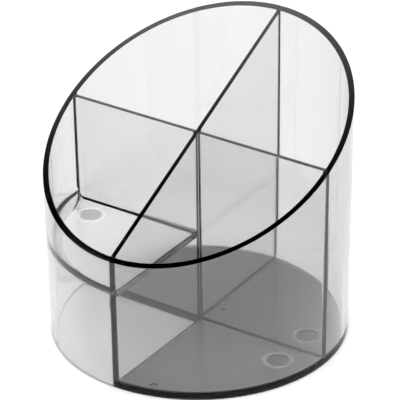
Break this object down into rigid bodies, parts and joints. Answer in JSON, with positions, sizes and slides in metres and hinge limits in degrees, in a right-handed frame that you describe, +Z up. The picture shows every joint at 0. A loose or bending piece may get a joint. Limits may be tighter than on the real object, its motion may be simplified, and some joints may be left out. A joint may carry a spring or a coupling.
{
  "type": "desk organizer",
  "caption": "Round open-topped desk organizer with a slanted rim, upright crossed dividers that form deep pen compartments, and a shallow raised tray on the low side.",
  "frame": {"origin": "centre of the base, on the table, where the dividers cross", "axes": "+Z up; the rim rises towards +X, along the long divider; +Y towards the left cross divider, on the side of the raised tray"},
  "size_m": [0.1061, 0.1062, 0.1004],
  "materials": {
    "smoke_clear_plastic": "clear polystyrene with a neutral smoke tint, polished on all faces, with faintly matt ejector marks on the floors"
  },
  "bodies": {
    "root": {"outer_wall": "smoke_clear_plastic", "long_divider": "smoke_clear_plastic", "left_cross_divider": "smoke_clear_plastic", "right_cross_divider": "smoke_clear_plastic", "front_right_floor": "smoke_clear_plastic", "back_right_floor": "smoke_clear_plastic", "back_left_floor": "smoke_clear_plastic", "raised_tray_floor": "smoke_clear_plastic"}
  },
  "joints": []
}
